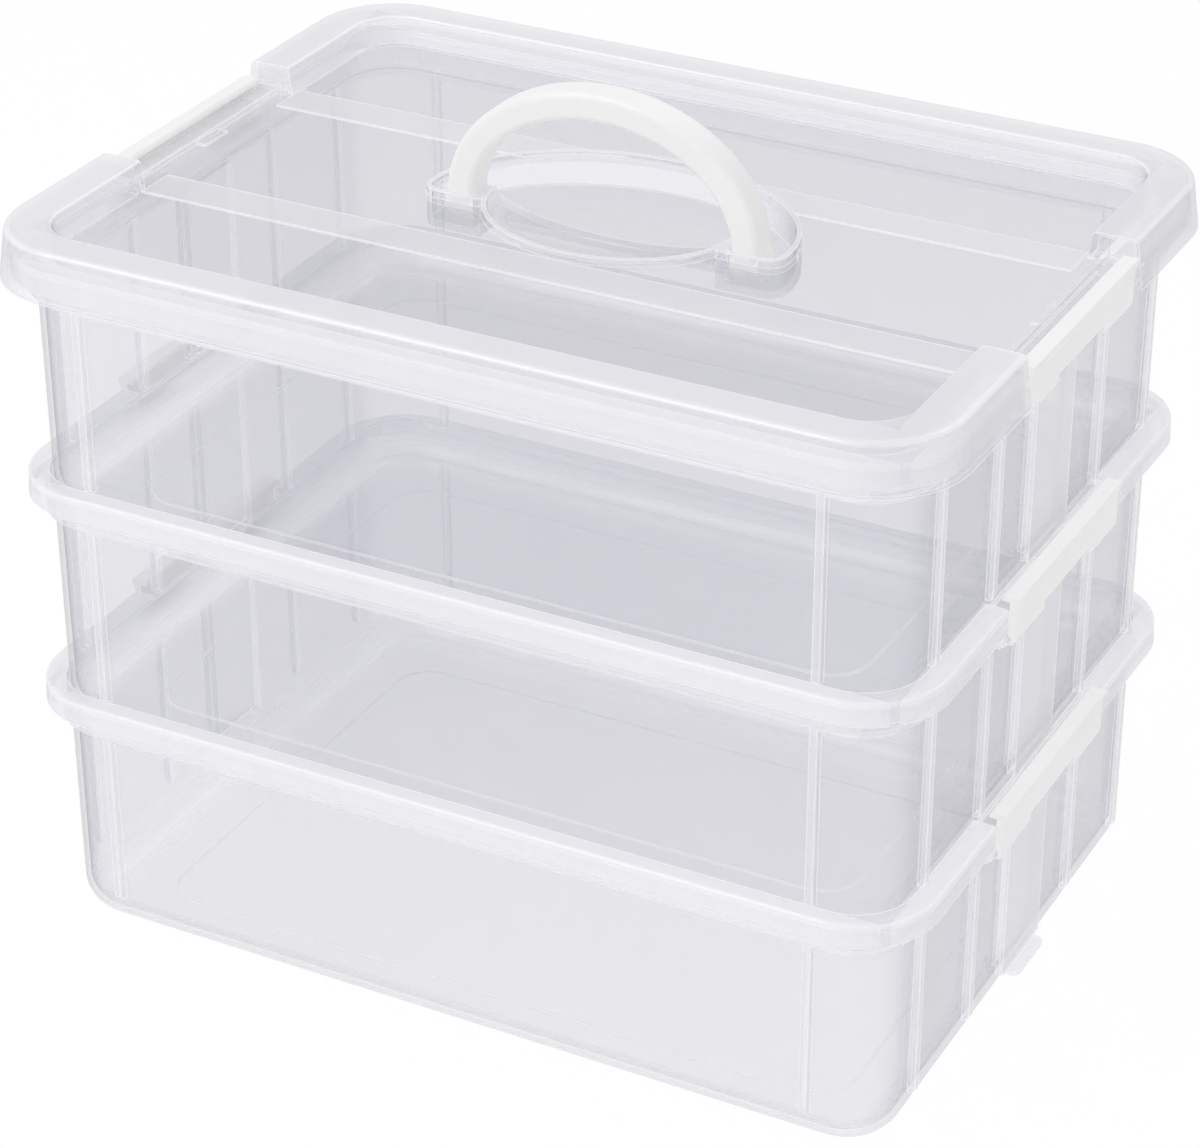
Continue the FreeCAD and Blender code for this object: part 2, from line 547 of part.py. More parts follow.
def build_lid():
    """Make the clear lid: channel rim, sunken panel, end notches, cross bands and the handle well."""
    body = new_body("lid")
    skin = new_sketch(body, "lid_skin", height=-D["lid_skirt"])
    add_rounded(skin, LID_X, LID_Y, LID_CORNER)
    block = pad(body, skin, D["lid_skirt"] + D["lid_rise"], -D["lid_draft"])
    doc.recompute()
    top = D["lid_rise"].value
    round_edges(body, block, lambda e: level_edge(e, top), D["lid_top_round"], "lid_top_edge")
    under = new_sketch(body, "lid_under", height=-D["lid_skirt"])
    add_rounded(under, LID_X - D["wall"], LID_Y - D["wall"], LID_CORNER - D["wall"])
    pocket(body, under, D["lid_skirt"] - D["panel_drop"] - D["wall"], -D["lid_draft"], up=True)
    slope = Dim(LID_SLOPE, "tan(sizes.lid_draft)")
    depth = D["lid_skirt"] - D["panel_drop"] - D["wall"]
    channel = new_sketch(body, "lid_channel", height=-(D["panel_drop"] + D["wall"]))
    add_rounded(channel, LID_X - D["wall"] - depth * slope, LID_Y - D["wall"] - depth * slope,
                LID_CORNER - D["wall"] - depth * slope, "a")
    height = D["lid_skirt"] + D["lid_rise"]
    inner_x = LID_X - height * slope - D["rim_width_x"]
    inner_y = LID_Y - height * slope - D["rim_width_y"]
    rise = D["lid_rise"] + D["panel_drop"]
    pocket(body, channel, D["panel_drop"] + D["lid_rise"], -D["lid_draft"], up=True)
    core = new_sketch(body, "lid_core", height=-(D["panel_drop"] + D["wall"]))
    foot = (rise + D["wall"]) * slope
    add_rounded(core, inner_x + D["wall"] - foot, inner_y + D["wall"] - foot,
                D["rim_inner_corner"] + D["wall"] - foot)
    pad(body, core, rise + 0.5, D["lid_draft"])
    sunk = new_sketch(body, "lid_sunk", height=D["lid_rise"])
    add_rounded(sunk, inner_x, inner_y, D["rim_inner_corner"])
    dip = pocket(body, sunk, rise, -D["lid_draft"])
    doc.recompute()
    inner_side = inner_x.value
    round_edges(body, dip, lambda e: level_edge(e, top) and not outside(e, inner_side + 1.0, inner_y.value + 1.0),
                D["lid_inner_round"], "lid_inner_edge")

    notch = new_sketch(body, "lid_notch", height=D["lid_rise"])
    reach = LID_X + 5.0
    for side, tag in ((1, "e"), (-1, "w")):
        add_rectangle(notch, (inner_x - 8.0) * side, reach * side, -D["bay_half"], D["bay_half"], tag)
    pocket(body, notch, D["lid_rise"] + D["panel_drop"])
    skirt_gap = new_sketch(body, "lid_skirt_gap", height=-D["panel_drop"] + 0.5)
    for side, tag in ((1, "e"), (-1, "w")):
        add_rectangle(skirt_gap, LEDGE_REACH * side, reach * side, -D["bay_half"], D["bay_half"], tag)
    pocket(body, skirt_gap, D["lid_skirt"] + 2.0)
    step = new_sketch(body, "lid_step", height=-(D["panel_drop"] + D["wall"]))
    for side, tag in ((1, "e"), (-1, "w")):
        add_rectangle(step, (inner_x - 6.0) * side, STRIP_BACK_X * side,
                      -(D["bay_half"] + D["web"]), D["bay_half"] + D["web"], tag)
    pad(body, step, D["wall"])
    riser = new_sketch(body, "lid_riser", height=-(D["panel_drop"] + D["wall"]))
    for side, tag in ((1, "e"), (-1, "w")):
        add_rectangle(riser, STRIP_X * side, STRIP_BACK_X * side,
                      -(D["bay_half"] + D["web"]), D["bay_half"] + D["web"], tag)
    pad(body, riser, D["panel_drop"] + D["wall"])
    strip = new_sketch(body, "lid_strip")
    for side, tag in ((1, "e"), (-1, "w")):
        add_rectangle(strip, STRIP_X * side, LEDGE_REACH * side,
                      -(D["bay_half"] - D["bay_gap"]), D["bay_half"] - D["bay_gap"], tag)
    pad(body, strip, D["ledge_thick"], down=True)
    ends = new_sketch(body, "lid_rim_ends", height=D["seat_gap"])
    for side, tag in ((1, "e"), (-1, "w")):
        for turn, sy in ((1, "n"), (-1, "s")):
            add_rectangle(ends, (inner_x + 0.4) * side, (LID_X - 3.0) * side,
                          D["bay_half"] * turn, (D["bay_half"] + D["web"]) * turn, tag + sy)
    pad(body, ends, D["lid_rise"] - D["seat_gap"] - 1.0)
    bands = new_sketch(body, "lid_bands", height=-D["panel_drop"])
    for turn, sy in ((1, "n"), (-1, "s")):
        add_rectangle(bands, D["band_short"] - inner_x, inner_x - D["band_short"], D["band_inner"] * turn,
                      (D["band_inner"] + D["band_width"]) * turn, sy)
    for side, tag in ((1, "e"), (-1, "w")):
        add_rectangle(bands, (STRIP_X - 4.2) * side, (STRIP_X + 0.6) * side, as_dim(-7.5), as_dim(7.5),
                      "tab" + tag)
    pad(body, bands, D["band_rise"])

    build_well(body)
    bind(body, "Placement.Base.z", PITCH * 2.0 + D["tray_height"])
    return body


def add_well_outline(sketch, half_x, half_y, front, inner_x, back, corner, tag):
    """Draw the plan of the well: a half ellipse to the rear and two sockets to the front."""
    hx, hy, f, ix, b, r = [as_dim(v) for v in (half_x, half_y, front, inner_x, back, corner)]
    start = sketch.GeometryCount
    ellipse = Part.Ellipse(Vector(0, 0, 0), hx.value, hy.value)
    half_turn = FreeCAD.Units.Quantity("180 deg").getValueAs("rad").Value
    arc = Part.ArcOfEllipse(ellipse, 0.0, half_turn)
    arc_id = sketch.addGeometry(arc, False)
    sketch.exposeInternalGeometry(arc_id)
    sketch.addConstraint(Sketcher.Constraint("Coincident", arc_id, 3, -1, 1))
    major, minor = arc_id + 1, arc_id + 2
    sketch.addConstraint(Sketcher.Constraint("Horizontal", major))
    sketch.addConstraint(Sketcher.Constraint("PointOnObject", arc_id, 1, -1))
    sketch.addConstraint(Sketcher.Constraint("PointOnObject", arc_id, 2, -1))
    constrain(sketch, "DistanceX", (major, 1, major, 2) if sketch.Geometry[major].StartPoint.x < 0
              else (major, 2, major, 1), tag + "_major", hx * 2.0)
    constrain(sketch, "DistanceY", (minor, 1, minor, 2) if sketch.Geometry[minor].StartPoint.y < 0
              else (minor, 2, minor, 1), tag + "_minor", hy * 2.0)
    for side, name in ((1, "e"), (-1, "w")):
        lines = [((hx.value * side, 0), (hx.value * side, -f.value + r.value)),
                 ((hx.value * side - r.value * side, -f.value), (ix.value * side, -f.value)),
                 ((ix.value * side, -f.value), (ix.value * side, b.value))]
        ids = []
        for p, q in lines:
            ids.append(sketch.addGeometry(Part.LineSegment(Vector(*p, 0), Vector(*q, 0)), False))
        circle = Part.Circle(Vector((hx.value - r.value) * side, -f.value + r.value, 0), Vector(0, 0, 1), r.value)
        low = 270.0 if side > 0 else 180.0
        a = FreeCAD.Units.Quantity("%g deg" % low).getValueAs("rad").Value
        c = FreeCAD.Units.Quantity("%g deg" % (low + 90.0)).getValueAs("rad").Value
        arc2 = sketch.addGeometry(Part.ArcOfCircle(circle, a, c), False)
        first, last = (2, 1) if side > 0 else (1, 2)
        sketch.addConstraint(Sketcher.Constraint("Coincident", arc_id, 1 if side > 0 else 2, ids[0], 1))
        sketch.addConstraint(Sketcher.Constraint("Tangent", ids[0], 2, arc2, first))
        sketch.addConstraint(Sketcher.Constraint("Tangent", arc2, last, ids[1], 1))
        sketch.addConstraint(Sketcher.Constraint("Coincident", ids[1], 2, ids[2], 1))
        sketch.addConstraint(Sketcher.Constraint("Vertical", ids[0]))
        sketch.addConstraint(Sketcher.Constraint("Horizontal", ids[1]))
        sketch.addConstraint(Sketcher.Constraint("Vertical", ids[2]))
        constrain(sketch, "Radius", (arc2,), tag + name + "_r", r)
        place_point(sketch, ids[2], 1, ix * side, -f, tag + name + "_f")
        if side > 0:
            east_top = ids[2]
        else:
            west_top = ids[2]
    closing = sketch.addGeometry(Part.LineSegment(Vector(ix.value, b.value, 0), Vector(-ix.value, b.value, 0)), False)
    sketch.addConstraint(Sketcher.Constraint("Coincident", east_top, 2, closing, 1))
    sketch.addConstraint(Sketcher.Constraint("Coincident", west_top, 2, closing, 2))
    sketch.addConstraint(Sketcher.Constraint("Horizontal", closing))
    constrain(sketch, "DistanceY", (-1, 1, closing, 1), tag + "_back", b)


def build_well(body):
    """Make the handle well with its sockets, the finger scoop and the pin holes."""
    wall = D["well_wall"]
    lip = D["well_lip"]
    outer = new_sketch(body, "well_outer", height=-(WELL_FLOOR + wall))
    add_well_outline(outer, WELL_X, WELL_Y, WELL_FRONT, SCOOP_X,
                     D["scoop_back"] - wall, D["well_round"], "o")
    pad(body, outer, WELL_FLOOR + wall + lip)
    scoop_lip = new_sketch(body, "scoop_lip", height=-(D["panel_drop"] + D["wall"]))
    add_half_ellipse(scoop_lip, SCOOP_X + wall, D["scoop_reach"] + wall, D["scoop_back"])
    pad(body, scoop_lip, D["panel_drop"] + D["wall"] + lip)
    shell = body.newObject("PartDesign::AdditiveEllipsoid", "scoop_shell")
    set_ellipsoid(shell, body, SCOOP_X + wall, D["scoop_reach"] + wall, D["scoop_depth"] + wall)
    dish = body.newObject("PartDesign::SubtractiveEllipsoid", "scoop_dish")
    set_ellipsoid(dish, body, SCOOP_X, D["scoop_reach"], D["scoop_depth"])
    inner = new_sketch(body, "well_inner", height=lip + 1.0)
    add_well_outline(inner, WELL_X - wall, WELL_Y - wall, WELL_FRONT - wall,
                     FOOT_INNER - D["ear_room"], D["scoop_back"], D["well_round"] - wall, "i")
    pocket(body, inner, WELL_FLOOR + lip + 1.0)
    hole_depth = D["pin_length"] + 0.6 + 0.4
    holes = new_sketch(body, "pin_hole", plane="YZ_Plane",
                       height=D["handle_x"] - D["handle_thick"] * 0.5 - D["pin_length"] - 0.4)
    add_circle(holes, 0.0, -D["pivot_drop"], D["pin_radius"] + D["pin_gap"])
    hole = pocket(body, holes, hole_depth, up=True)
    mirror(body, [hole], "YZ_Plane")


def add_half_ellipse(sketch, half_x, reach, back):
    """Draw the front half of an ellipse that is closed by a straight rear edge."""
    hx, hy, b = as_dim(half_x), as_dim(reach), as_dim(back)
    ellipse = Part.Ellipse(Vector(0, b.value, 0), hx.value, hy.value)
    half_turn = FreeCAD.Units.Quantity("180 deg").getValueAs("rad").Value
    full_turn = FreeCAD.Units.Quantity("360 deg").getValueAs("rad").Value
    arc_id = sketch.addGeometry(Part.ArcOfEllipse(ellipse, half_turn, full_turn), False)
    sketch.exposeInternalGeometry(arc_id)
    major, minor = arc_id + 1, arc_id + 2
    place_point(sketch, arc_id, 3, 0.0, b, "centre")
    sketch.addConstraint(Sketcher.Constraint("Horizontal", major))
    constrain(sketch, "DistanceX", (major, 1, major, 2) if sketch.Geometry[major].StartPoint.x < 0
              else (major, 2, major, 1), "major", hx * 2.0)
    constrain(sketch, "DistanceY", (minor, 1, minor, 2)
              if sketch.Geometry[minor].StartPoint.y < sketch.Geometry[minor].EndPoint.y
              else (minor, 2, minor, 1), "minor", hy * 2.0)
    line = sketch.addGeometry(Part.LineSegment(Vector(hx.value, b.value, 0), Vector(-hx.value, b.value, 0)), False)
    sketch.addConstraint(Sketcher.Constraint("Coincident", arc_id, 2, line, 1))
    sketch.addConstraint(Sketcher.Constraint("Coincident", arc_id, 1, line, 2))
    sketch.addConstraint(Sketcher.Constraint("Horizontal", line))
    sketch.addConstraint(Sketcher.Constraint("PointOnObject", arc_id, 3, line))


def set_ellipsoid(feature, body, half_x, half_y, depth):
    """Place the lower front quarter of an ellipsoid under the scoop's lip."""
    feature.AttachmentSupport = (origin_plane(body, "XY_Plane"), "")
    feature.MapMode = "FlatFace"
    turn = Rotation(Vector(0, 0, 1), 180)
    feature.AttachmentOffset = Placement(Vector(0, D["scoop_back"].value, D["well_lip"].value), turn)
    bind(feature, "AttachmentOffset.Base.y", D["scoop_back"])
    bind(feature, "AttachmentOffset.Base.z", D["well_lip"])
    feature.Angle1 = -90
    feature.Angle2 = 0
    feature.Angle3 = 180
    for name, dim in (("Radius1", depth), ("Radius2", half_x), ("Radius3", half_y)):
        setattr(feature, name, as_dim(dim).value)
        bind(feature, name, dim)


# Handle


def build_handle():
    """Make the arched handle with its two round feet and inward pins."""
    body = new_body("handle")
    path = new_sketch(body, "handle_path", plane="XZ_Plane")
    x, leg, arch = D["handle_x"].value, D["handle_leg"].value, D["handle_arch"].value
    right = path.addGeometry(Part.LineSegment(Vector(x, 0, 0), Vector(x, leg, 0)), False)
    ellipse = Part.Ellipse(Vector(0, leg, 0), x, arch)
    half_turn = FreeCAD.Units.Quantity("180 deg").getValueAs("rad").Value
    crown = path.addGeometry(Part.ArcOfEllipse(ellipse, 0.0, half_turn), False)
    left = path.addGeometry(Part.LineSegment(Vector(-x, leg, 0), Vector(-x, 0, 0)), False)
    path.exposeInternalGeometry(crown)
    major, minor = left + 1, left + 2
    path.addConstraint(Sketcher.Constraint("Coincident", right, 2, crown, 1))
    path.addConstraint(Sketcher.Constraint("Coincident", crown, 2, left, 1))
    path.addConstraint(Sketcher.Constraint("Horizontal", major))
    place_point(path, crown, 3, 0.0, D["handle_leg"], "centre")
    path.addConstraint(Sketcher.Constraint("Horizontal", crown, 1, crown, 3))
    path.addConstraint(Sketcher.Constraint("Horizontal", crown, 2, crown, 3))
    path.addConstraint(Sketcher.Constraint("Vertical", right))
    path.addConstraint(Sketcher.Constraint("Vertical", left))
    path.addConstraint(Sketcher.Constraint("PointOnObject", right, 1, -1))
    path.addConstraint(Sketcher.Constraint("PointOnObject", left, 2, -1))
    constrain(path, "DistanceX", (major, 1, major, 2) if path.Geometry[major].StartPoint.x < 0
              else (major, 2, major, 1), "span", D["handle_x"] * 2.0)
    constrain(path, "DistanceY", (minor, 1, minor, 2)
              if path.Geometry[minor].StartPoint.y < path.Geometry[minor].EndPoint.y
              else (minor, 2, minor, 1), "arch", D["handle_arch"] * 2.0)
    section = new_sketch(body, "handle_section")
    add_offset_rounded(section, D["handle_x"], D["handle_thick"] * 0.5, D["handle_width"] * 0.5, D["handle_round"])
    band = body.newObject("PartDesign::AdditivePipe", "handle_band")
    band.Profile = section
    band.Spine = (path, ["Edge1", "Edge2", "Edge3"])
    section.Visibility = False
    path.Visibility = False
    doc.recompute()
    for side, tag in ((1, "e"), (-1, "w")):
        foot = new_sketch(body, "handle_foot_" + tag, plane="YZ_Plane",
                          height=D["handle_x"] * side - D["handle_thick"] * 0.5)
        add_circle(foot, 0.0, 0.0, D["handle_width"] * 0.5)
        pad(body, foot, D["handle_thick"])
        pin = new_sketch(body, "handle_pin_" + tag, plane="YZ_Plane",
                         height=(D["handle_x"] - D["handle_thick"] * 0.5) * side)
        add_circle(pin, 0.0, 0.0, D["pin_radius"])
        last = pad(body, pin, D["pin_length"], down=(side > 0))
    doc.recompute()
    body.Tip = last
    bind(body, "Placement.Base.z", PITCH * 2.0 + D["tray_height"] - D["pivot_drop"])
    return body


def add_offset_rounded(sketch, centre_x, half_x, half_y, radius):
    """Draw a rounded rectangle whose middle stands off the origin along X."""
    cx, x, y, r = [as_dim(v) for v in (centre_x, half_x, half_y, radius)]
    start = sketch.GeometryCount
    c, hx, hy, rr = cx.value, x.value, y.value, r.value
    ends = [((c + hx - rr, hy), (c - hx + rr, hy)), ((c - hx, hy - rr), (c - hx, -hy + rr)),
            ((c - hx + rr, -hy), (c + hx - rr, -hy)), ((c + hx, -hy + rr), (c + hx, hy - rr))]
    for first, second in ends:
        sketch.addGeometry(Part.LineSegment(Vector(*first, 0), Vector(*second, 0)), False)
    centres = [(c + hx - rr, hy - rr, 0), (c - hx + rr, hy - rr, 90),
               (c - hx + rr, -hy + rr, 180), (c + hx - rr, -hy + rr, 270)]
    for px, py, angle in centres:
        circle = Part.Circle(Vector(px, py, 0), Vector(0, 0, 1), rr)
        low = FreeCAD.Units.Quantity("%g deg" % angle).getValueAs("rad").Value
        high = FreeCAD.Units.Quantity("%g deg" % (angle + 90)).getValueAs("rad").Value
        sketch.addGeometry(Part.ArcOfCircle(circle, low, high), False)
    top, left, bottom, right = start, start + 1, start + 2, start + 3
    arcs = [start + 4, start + 5, start + 6, start + 7]
    joins = [(arcs[0], 2, top, 1), (top, 2, arcs[1], 1), (arcs[1], 2, left, 1), (left, 2, arcs[2], 1),
             (arcs[2], 2, bottom, 1), (bottom, 2, arcs[3], 1), (arcs[3], 2, right, 1), (right, 2, arcs[0], 1)]
    for a, pa, b, pb in joins:
        sketch.addConstraint(Sketcher.Constraint("Tangent", a, pa, b, pb))
    for index, kind in ((top, "Horizontal"), (bottom, "Horizontal"), (left, "Vertical"), (right, "Vertical")):
        sketch.addConstraint(Sketcher.Constraint(kind, index))
    for arc in arcs[1:]:
        sketch.addConstraint(Sketcher.Constraint("Equal", arcs[0], arc))
    constrain(sketch, "DistanceX", (-1, 1, left, 1), "near_x", cx - x)
    constrain(sketch, "DistanceX", (-1, 1, right, 1), "far_x", cx + x)
    constrain(sketch, "DistanceY", (-1, 1, top, 1), "half_y", y)
    constrain(sketch, "DistanceY", (bottom, 1, top, 1), "full_y", y * 2.0)
    constrain(sketch, "Radius", (arcs[0],), "radius", r)


# Latches


def build_latch(label, level, side):
    """Make one side latch: plate, hook and two legs with open clips for the hinge bars."""
    body = new_body(label)
    outer = D["clip_radius"]
    inner = outer - D["latch_plate"]
    tip = LEDGE_REACH - HINGE_X - D["hook_overlap"]
    top = HOOK_RISE + D["hook_thick"]
    width = LATCH_HALF * 2.0
    plate = new_sketch(body, label + "_plate", plane="XZ_Plane")
    add_polygon(plate, [(inner, 0.0), (outer, 0.0), (outer, top - 4.6), (outer + 1.5, top - 0.9),
                        (outer + 1.5, top), (tip + 0.7, top), (tip, top - 0.8), (tip, HOOK_RISE),
                        (inner, HOOK_RISE)])
    pad(body, plate, width, both=True)
    clip = new_sketch(body, label + "_clip", plane="XZ_Plane")
    add_circle(clip, 0.0, 0.0, outer)
    pad(body, clip, width, both=True)
    bore = new_sketch(body, label + "_bore", plane="XZ_Plane")
    add_circle(bore, 0.0, 0.0, D["bar_radius"] + D["clip_gap"])
    pocket(body, bore, width + 2.0, both=True)
    slot = new_sketch(body, label + "_slot", plane="XZ_Plane")
    add_rectangle(slot, -(outer + 1.0), inner, D["bar_radius"] * 0.4, D["clip_radius"] + 1.0, "s")
    pocket(body, slot, width + 2.0, both=True)
    gap = new_sketch(body, label + "_gap", height=D["bridge_rise"])
    add_rectangle(gap, -(outer + 2.0), outer + 2.0, -LEG_INNER, LEG_INNER, "g")
    pocket(body, gap, D["bridge_rise"] + outer + 1.0)
    corners = new_sketch(body, label + "_leg_corners", plane="YZ_Plane")
    for turn, name in ((1, "n"), (-1, "s")):
        add_corner_cut(corners, LEG_INNER * turn, -outer, D["leg_round"], -turn, -1, "inner" + name)
        add_corner_cut(corners, LATCH_HALF * turn, -outer, D["leg_corner"], turn, -1, "outer" + name)
    cut = pocket(body, corners, (outer + 2.0) * 2.0, both=True)
    doc.recompute()
    half = LATCH_HALF.value
    low = top.value - 4.6
    out = outer.value
    rounded = round_edges(body, cut, lambda e: in_range(e, (out - 0.5, -half, low + 0.5), (out + 3, half, 99))
                          and e.Length > half, D["lip_round"], label + "_lip_edge")
    body.Tip = rounded
    turn = 0 if side > 0 else 180
    body.Placement = Placement(Vector(HINGE_X.value * side, 0, 0), Rotation(Vector(0, 0, 1), turn))
    bind(body, "Placement.Base.x", HINGE_X * float(side))
    bind(body, "Placement.Base.z", PITCH * float(level) + BAR_Z)
    return body


# Assembly

parts = []
for level, name in enumerate(("bottom", "middle", "top")):
    parts.append(build_tray(name + "_tray", level))
    parts.append(build_latch(name + "_latch_right", level, 1))
    parts.append(build_latch(name + "_latch_left", level, -1))
parts.append(build_lid())
parts.append(build_handle())
doc.recompute()

for obj in doc.Objects:
    if "Invalid" in obj.State or "Error" in obj.State:
        raise RuntimeError("failed object " + obj.Name)
for part in parts:
    shape = part.Shape
    if shape.isNull() or not shape.isValid() or len(shape.Solids) != 1:
        raise RuntimeError("bad shape " + part.Label)
for part in parts:
    part.Shape.exportStep("parts/" + part.Label + ".step")
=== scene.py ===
"""Looks of the stackable storage box: clear moulded trays and lid, white satin handle and latches."""

import bpy
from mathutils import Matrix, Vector

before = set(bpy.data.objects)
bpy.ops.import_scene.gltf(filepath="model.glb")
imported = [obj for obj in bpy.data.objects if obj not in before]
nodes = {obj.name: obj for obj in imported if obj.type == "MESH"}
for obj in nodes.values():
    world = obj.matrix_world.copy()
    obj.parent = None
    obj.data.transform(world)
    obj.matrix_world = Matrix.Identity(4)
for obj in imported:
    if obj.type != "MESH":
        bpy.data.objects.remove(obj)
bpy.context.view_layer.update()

# Places on the mouldings, in metres; a tray's heights are from its own foot, the lid's from the floor

TRAY_STEP = 0.085                  # from one tray to the next
TRAY_HALF = (0.1664, 0.1214)       # outside this box a tray has rim, ribs, webs and ledges
RIM_FOOT = (0.0815, 0.0845)        # the wall turns milky under the rim between these heights
RIM_TOP = (0.0966, 0.0976)         # the flat top of a tray's rim starts between these heights
LID_HALF = (0.1602, 0.1152)        # outside this box the lid is channel rim
LID_TOP = (0.2766, 0.2776)         # the flat top of the lid's rim starts between these heights
BAND_MIDDLE, BAND_HALF = 0.0448, 0.0084      # the two cross bands of the panel, along Y
BAND_LEVEL, BAND_DEPTH = 0.2684, 0.0006      # the bands' top face
WELL_HALF = (0.0740, 0.0580)       # the handle well lies inside this box
WELL_LIP = (0.2700, 0.2702)        # the well's lip stands above the panel from these heights on
EDGE_RADIUS = 0.0012               # edges of the mould are rounded by about 1.2 mm
SOFT_EDGE = 0.001                  # a change from clear to milky takes about 1 mm of depth
RIB_FOOT_EDGE = 0.0004             # where ribs meet the wall it is sharper

# How milky each place is: the share of its surface that scatters light and doesn't let it through. The edge and
# round shares are painted highlights, and the rims' top shares are partly painted light from above.

RIM_MILK, RIM_TOP_MILK_AND_LIGHT, RIB_MILK = 0.06, 0.20, 0.26
LID_RIM_MILK, LID_TOP_MILK_AND_LIGHT, BAND_MILK, WELL_LIP_MILK = 0.13, 0.42, 0.30, 0.55
EDGE_HIGHLIGHT, ROUND_HIGHLIGHT, SIDEWAYS_MILK, MOST_MILK = 0.70, 0.45, 0.30, 0.85
GLOW_SHARE = 0.3                   # share of the milk's light that comes from behind


# Small helpers


def linear(code):
    """Turn an sRGB hex colour into linear red, green, blue and full alpha."""
    parts = [int(code[i:i + 2], 16) / 255.0 for i in (0, 2, 4)]
    return tuple(c / 12.92 if c <= 0.04045 else ((c + 0.055) / 1.055) ** 2.4 for c in parts) + (1.0,)


def per_metre(millimetres):
    """Turn a pattern's real spacing into the scale of a noise node, in cells per metre."""
    return 1000.0 / millimetres


def add_node(tree, kind, values=None):
    """Add one node; each value sets a property or a socket, and a value that is a socket is linked."""
    node = tree.nodes.new(kind)
    for key, value in (values or {}).items():
        if isinstance(value, bpy.types.NodeSocket):
            tree.links.new(value, node.inputs[key])
        elif isinstance(key, str) and hasattr(node, key):
            setattr(node, key, value)
        else:
            node.inputs[key].default_value = value
    return node


def new_material(name):
    """Start a node material with no nodes."""
    material = bpy.data.materials.new(name)
    material.use_nodes = True
    material.node_tree.nodes.clear()
    return material, material.node_tree


def dress(piece, material):
    """Give a piece one material in every slot."""
    if not piece.data.materials:
        piece.data.materials.append(material)
    for slot in piece.material_slots:
        slot.material = material


# Clear polypropylene, injection moulded in a polished mould: a glossy skin over clear walls. The plastic is
# slightly hazy, so it turns a milky white where it is thick and where a wall is seen sideways. The same white
# paints highlights along its edges and rounds, and partly paints light from above on the rims' flat tops.


def boxed(tree, place, half, soft, inside, outside):
    """Give one share inside a centred upright box and another outside it, with a soft change."""
    size = add_node(tree, "ShaderNodeVectorMath", {"operation": "ABSOLUTE", 0: place})
    past = add_node(tree, "ShaderNodeVectorMath",
                    {"operation": "SUBTRACT", 0: size.outputs[0], 1: half + (0.0,)})
    split = add_node(tree, "ShaderNodeSeparateXYZ", {"Vector": past.outputs[0]})
    furthest = add_node(tree, "ShaderNodeMath",
                        {"operation": "MAXIMUM", 0: split.outputs["X"], 1: split.outputs["Y"]})
    share = add_node(tree, "ShaderNodeMapRange",
                     {"Value": furthest.outputs[0], "From Max": soft, "To Min": inside, "To Max": outside})
    return share.outputs[0]


def above(tree, height, heights, share):
    """Rise from nothing to a share between two heights."""
    rise = add_node(tree, "ShaderNodeMapRange",
                    {"Value": height, "From Min": heights[0], "From Max": heights[1], "To Max": share})
    return rise.outputs[0]


def painted_edge_highlight(tree, share):
    """Paint a highlight on edges of ribs, bands and rims, where a rounded normal leans away from the flat one.
    """
    rounded = add_node(tree, "ShaderNodeBevel", {"samples": 4, "Radius": EDGE_RADIUS})
    flat = add_node(tree, "ShaderNodeNewGeometry")
    along = add_node(tree, "ShaderNodeVectorMath",
                     {"operation": "DOT_PRODUCT", 0: rounded.outputs["Normal"], 1: flat.outputs["Normal"]})
    lean = add_node(tree, "ShaderNodeMapRange",
                    {"Value": along.outputs["Value"], "From Min": 0.98, "From Max": 0.80, "To Max": share})
    return lean.outputs[0]


def painted_round_highlight(tree, share):
    """Paint a highlight on the rounds between level and upright faces: 4 z^2 (1 - z^2) of the normal's z, 1 at
    45 degrees.

    The share multiplies it.
    """
    surface = add_node(tree, "ShaderNodeNewGeometry")
    normal = add_node(tree, "ShaderNodeSeparateXYZ", {"Vector": surface.outputs["True Normal"]})
    level = add_node(tree, "ShaderNodeMath",
                     {"operation": "MULTIPLY", 0: normal.outputs["Z"], 1: normal.outputs["Z"]})
    steep = add_node(tree, "ShaderNodeMath",
                     {"operation": "MULTIPLY_ADD", 0: level.outputs[0], 1: -4.0 * share, 2: 4.0 * share})
    both = add_node(tree, "ShaderNodeMath",
                    {"operation": "MULTIPLY", 0: level.outputs[0], 1: steep.outputs[0]})
    return both.outputs[0]


def tray_milk_and_top_light(tree, place):
    """Whiten a tray's rim and the ribs, webs and ledges that stand off the walls; the extra white on the rim's
    flat top is partly painted light from above.
    """
    height = add_node(tree, "ShaderNodeSeparateXYZ", {"Vector": place}).outputs["Z"]
    return [above(tree, height, RIM_FOOT, RIM_MILK), above(tree, height, RIM_TOP, RIM_TOP_MILK_AND_LIGHT),
            boxed(tree, place, TRAY_HALF, RIB_FOOT_EDGE, 0.0, RIB_MILK)]


